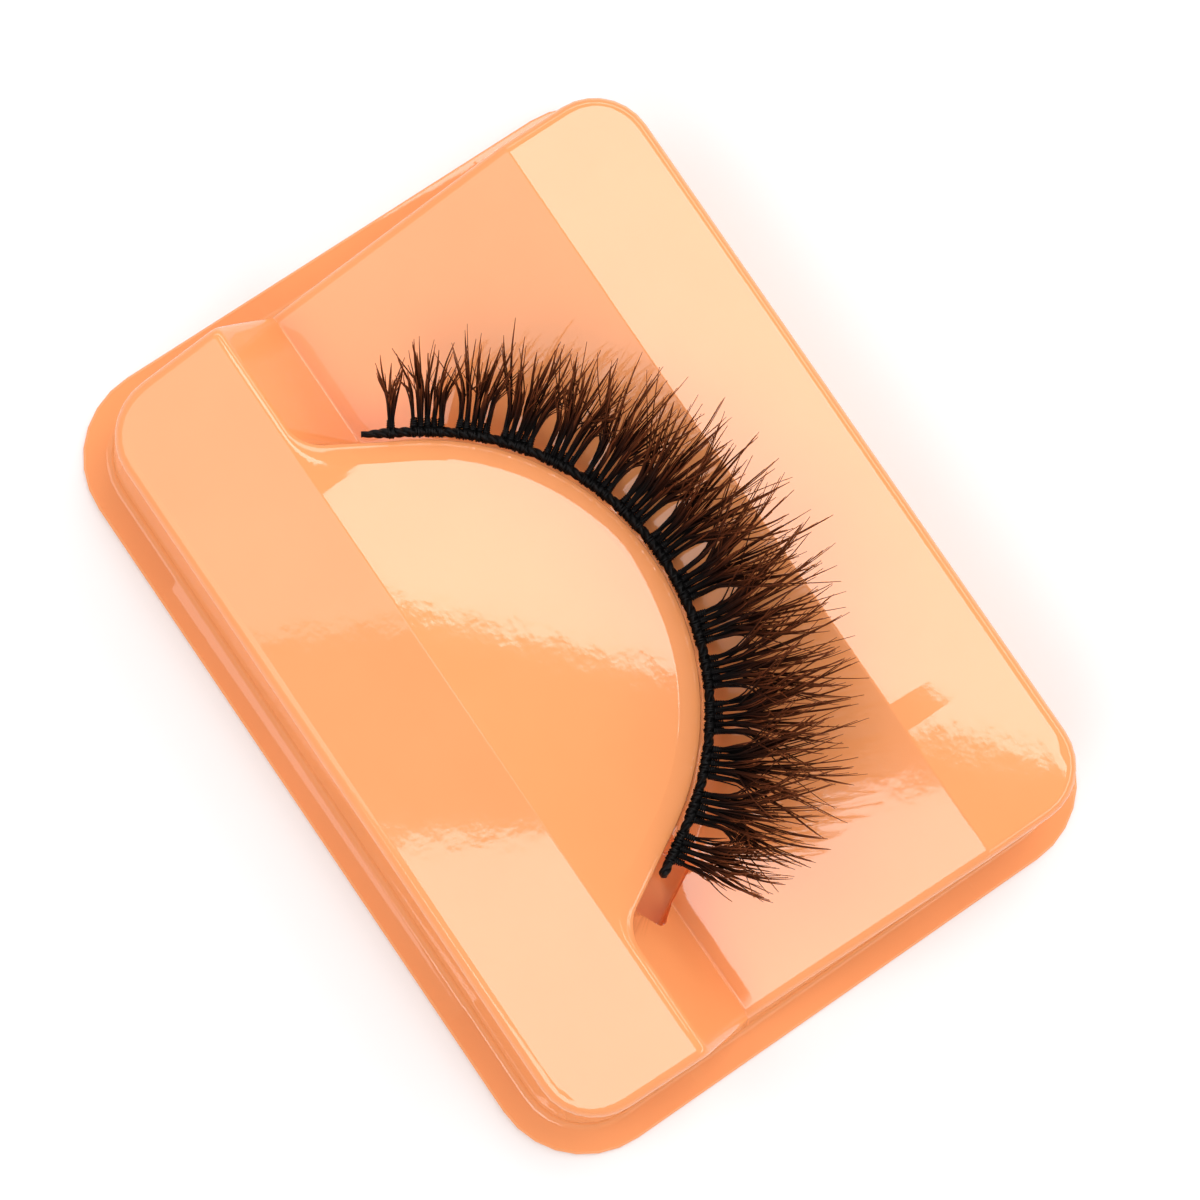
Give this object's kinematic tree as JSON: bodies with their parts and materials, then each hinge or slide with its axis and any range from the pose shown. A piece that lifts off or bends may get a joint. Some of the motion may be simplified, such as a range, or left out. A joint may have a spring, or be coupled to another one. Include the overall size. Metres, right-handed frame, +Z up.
{
  "type": "false eyelash strip on a moulded tray seat",
  "caption": "Curved strip of false lashes, with clusters of curled hair knotted along a thin band, lying on one seat of its thin moulded tray.",
  "frame": {"origin": "centre of the tray seat's outline, on the surface that its flange stands on", "axes": "+Z up; +Y from the strip towards the ridge behind its open side, so the hairs fan out towards -Y; +X towards the strip's inner corner, where the hairs are short"},
  "size_m": [0.0456, 0.034, 0.0154],
  "materials": {
    "tray": "glossy thermoformed sheet",
    "band": "black cotton thread stiffened with glue",
    "hair": "fine brown-black synthetic hair with a soft sheen"
  },
  "bodies": {
    "root": {"tray_seat": "tray", "lash_band": "band", "hair_cluster_01": "hair", "hair_cluster_02": "hair", "hair_cluster_03": "hair", "hair_cluster_04": "hair", "hair_cluster_05": "hair", "hair_cluster_06": "hair", "hair_cluster_07": "hair", "hair_cluster_08": "hair", "hair_cluster_09": "hair", "hair_cluster_10": "hair", "hair_cluster_11": "hair", "hair_cluster_12": "hair", "hair_cluster_13": "hair", "hair_cluster_14": "hair", "hair_cluster_15": "hair"}
  },
  "joints": []
}
